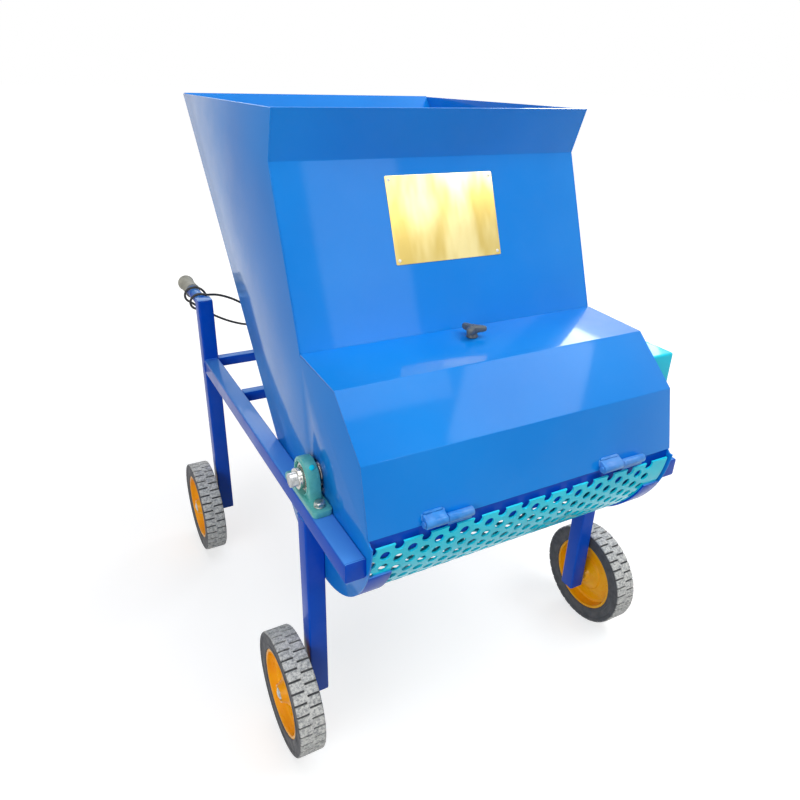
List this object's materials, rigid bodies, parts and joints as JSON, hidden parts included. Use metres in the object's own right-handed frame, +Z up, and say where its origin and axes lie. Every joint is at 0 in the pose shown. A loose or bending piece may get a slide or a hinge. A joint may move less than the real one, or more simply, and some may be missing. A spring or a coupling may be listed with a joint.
{
  "type": "forage chopper",
  "caption": "Wheeled forage chopper: hopper above a hinged hood, swinging-hammer rotor, half-round screen, belt drive from an electric motor, two push handles.",
  "frame": {"origin": "on the ground, under the middle of the machine's length and width without its cable", "axes": "+X to the right seen from the front, +Y to the rear, +Z up"},
  "size_m": [0.922, 1.232, 1.292],
  "materials": {
    "body_paint": "gloss",
    "hinge_paint": "gloss",
    "frame_paint": "gloss",
    "screen_paint": "gloss",
    "guard_paint": "gloss",
    "housing_paint": "satin",
    "bearing_steel": "ground",
    "zinc": "zinc plated",
    "shaft_steel": "turned",
    "rotor_steel": "mill scale",
    "hammer_steel": "worn",
    "pulley_iron": "turned",
    "belt_rubber": "matt",
    "motor_paint": "satin",
    "cover_paint": "satin",
    "fan_plastic": "matt",
    "box_plastic": "matt",
    "gland_plastic": "matt",
    "cable_rubber": "matt",
    "plug_rubber": "matt",
    "switch_plastic": "gloss",
    "knob_plastic": "gloss",
    "grip_rubber": "matt",
    "plate_brass": "brushed",
    "rivet_paint": "gloss",
    "tyre_rubber": "matt",
    "rim_plastic": "gloss"
  },
  "bodies": {
    "chassis": {"left_rail": "frame_paint", "right_rail": "frame_paint", "front_legs": "frame_paint", "rear_posts": "frame_paint", "tube_caps": "frame_paint", "motor_rails": "frame_paint", "left_side_plate": "body_paint", "right_side_plate": "body_paint", "hopper_rear_wall": "body_paint", "hopper_front_wall": "body_paint", "front_bar": "frame_paint", "screen": "screen_paint", "screen_holders": "frame_paint", "left_bearing_housing": "housing_paint", "right_bearing_housing": "housing_paint", "bearing_outer_rings": "bearing_steel", "hex_bolts": "zinc", "belt_guard": "guard_paint", "handle_pipes": "frame_paint", "handle_grips": "grip_rubber", "nameplate": "plate_brass", "nameplate_rivets": "rivet_paint", "motor_plate": "frame_paint", "motor_body": "motor_paint", "motor_end_shields": "motor_paint", "motor_fan_cover": "cover_paint", "terminal_box": "box_plastic", "cable_gland": "gland_plastic", "cable_runs": "cable_rubber", "cable_winding": "cable_rubber", "cable_coil": "cable_rubber", "plug": "plug_rubber", "wheel_axles": "zinc", "fixed_knuckles": "hinge_paint", "drive_belts": "belt_rubber"},
    "rotor": {"rotor_shaft": "shaft_steel", "rotor_discs": "rotor_steel", "hammer_pins": "shaft_steel", "bearing_inner_rings": "bearing_steel", "rotor_pulley": "pulley_iron"},
    "motor_rotor": {"motor_shaft": "shaft_steel", "motor_fan": "fan_plastic", "motor_pulley": "pulley_iron"},
    "hood": {"hood": "body_paint", "hood_knuckles": "hinge_paint"},
    "latch": {"latch_knob": "knob_plastic", "latch_spindle": "zinc"},
    "switch": {"switch_knob": "switch_plastic"},
    "hammers_front_low": {"hammers_front_low": "hammer_steel"},
    "hammers_rear_low": {"hammers_rear_low": "hammer_steel"},
    "hammers_rear_top": {"hammers_rear_top": "hammer_steel"},
    "hammers_front_top": {"hammers_front_top": "hammer_steel"},
    "wheel_front_left": {"tyre_front_left": "tyre_rubber", "rim_front_left": "rim_plastic"},
    "wheel_front_right": {"tyre_front_right": "tyre_rubber", "rim_front_right": "rim_plastic"},
    "wheel_rear_left": {"tyre_rear_left": "tyre_rubber", "rim_rear_left": "rim_plastic"},
    "wheel_rear_right": {"tyre_rear_right": "tyre_rubber", "rim_rear_right": "rim_plastic"}
  },
  "joints": [
    {"name": "rotor_spin", "type": "hinge", "parent": "chassis", "child": "rotor", "pos_m": [0, -0.375, 0.661], "axis": [1, 0, 0], "continuous": true},
    {"name": "motor_spin", "type": "hinge", "parent": "chassis", "child": "motor_rotor", "pos_m": [0, 0.253, 0.726], "axis": [1, 0, 0], "continuous": true},
    {"name": "hood_open", "type": "hinge", "parent": "chassis", "child": "hood", "pos_m": [0, -0.607, 0.663], "axis": [1, 0, 0], "range_deg": [0, 150]},
    {"name": "latch_turn", "type": "hinge", "parent": "hood", "child": "latch", "pos_m": [-0.005, -0.358, 0.87], "axis": [0, 0, 1], "range_deg": [0, 90]},
    {"name": "switch_turn", "type": "hinge", "parent": "chassis", "child": "switch", "pos_m": [0.25, 0.301, 0.837], "axis": [0, 1, 0], "range_deg": [0, 90]},
    {"name": "hammers_front_low_swing", "type": "hinge", "parent": "rotor", "child": "hammers_front_low", "pos_m": [0, -0.44925, 0.58675], "axis": [1, 0, 0], "range_deg": [-100, 90]},
    {"name": "hammers_rear_low_swing", "type": "hinge", "parent": "rotor", "child": "hammers_rear_low", "pos_m": [0, -0.30075, 0.58675], "axis": [1, 0, 0], "range_deg": [-90, 100]},
    {"name": "hammers_rear_top_swing", "type": "hinge", "parent": "rotor", "child": "hammers_rear_top", "pos_m": [0, -0.30075, 0.73525], "axis": [1, 0, 0], "range_deg": [-15, 150]},
    {"name": "hammers_front_top_swing", "type": "hinge", "parent": "rotor", "child": "hammers_front_top", "pos_m": [0, -0.44925, 0.73525], "axis": [1, 0, 0], "range_deg": [-150, 15]},
    {"name": "wheel_front_left_spin", "type": "hinge", "parent": "chassis", "child": "wheel_front_left", "pos_m": [-0.4305, -0.384, 0.134], "axis": [1, 0, 0], "continuous": true},
    {"name": "wheel_front_right_spin", "type": "hinge", "parent": "chassis", "child": "wheel_front_right", "pos_m": [0.4305, -0.384, 0.134], "axis": [1, 0, 0], "continuous": true},
    {"name": "wheel_rear_left_spin", "type": "hinge", "parent": "chassis", "child": "wheel_rear_left", "pos_m": [-0.4305, 0.386, 0.134], "axis": [1, 0, 0], "continuous": true},
    {"name": "wheel_rear_right_spin", "type": "hinge", "parent": "chassis", "child": "wheel_rear_right", "pos_m": [0.4305, 0.386, 0.134], "axis": [1, 0, 0], "continuous": true}
  ],
  "couplings": [
    {"joint": "motor_spin", "follows": "rotor_spin", "ratio": 1.44}
  ]
}
